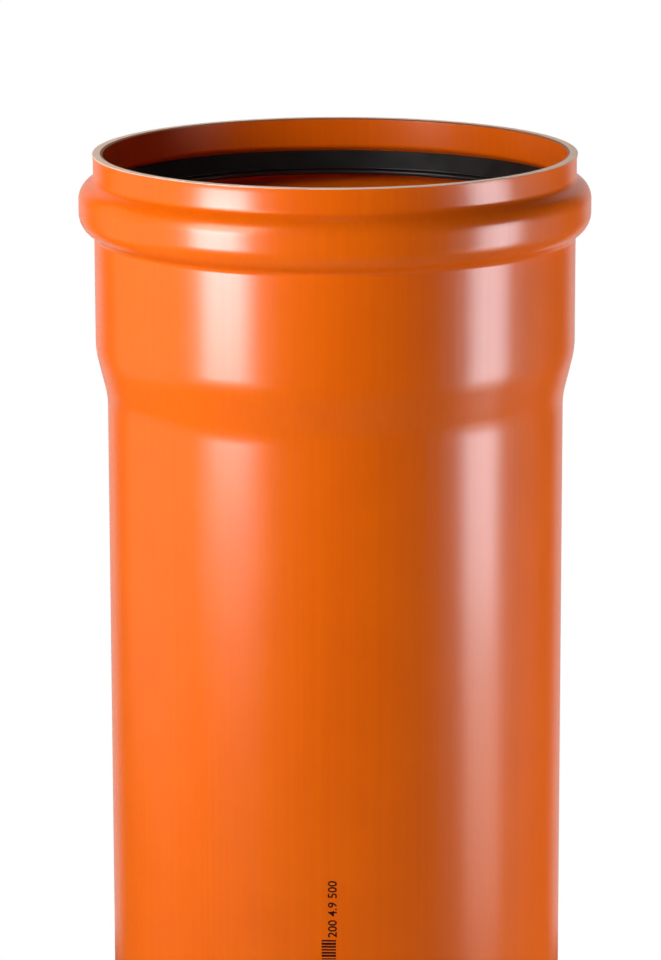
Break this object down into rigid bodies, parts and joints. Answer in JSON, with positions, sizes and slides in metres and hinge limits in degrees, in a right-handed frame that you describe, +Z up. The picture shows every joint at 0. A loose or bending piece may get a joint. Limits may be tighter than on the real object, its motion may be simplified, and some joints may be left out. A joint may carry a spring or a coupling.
{
  "type": "sewer pipe",
  "caption": "Orange plastic drain and sewer pipe with a belled socket, a seal bead and a black lip seal.",
  "frame": {"origin": "centre of the spigot's end face, on the floor", "axes": "+Z up along the pipe's axis, from the spigot to the socket's mouth"},
  "size_m": [0.2233, 0.2234, 0.5969],
  "materials": {
    "orange_pvc": "gloss",
    "black_rubber": "satin"
  },
  "bodies": {
    "root": {"pipe": "orange_pvc", "seal_ring": "black_rubber"}
  },
  "joints": []
}
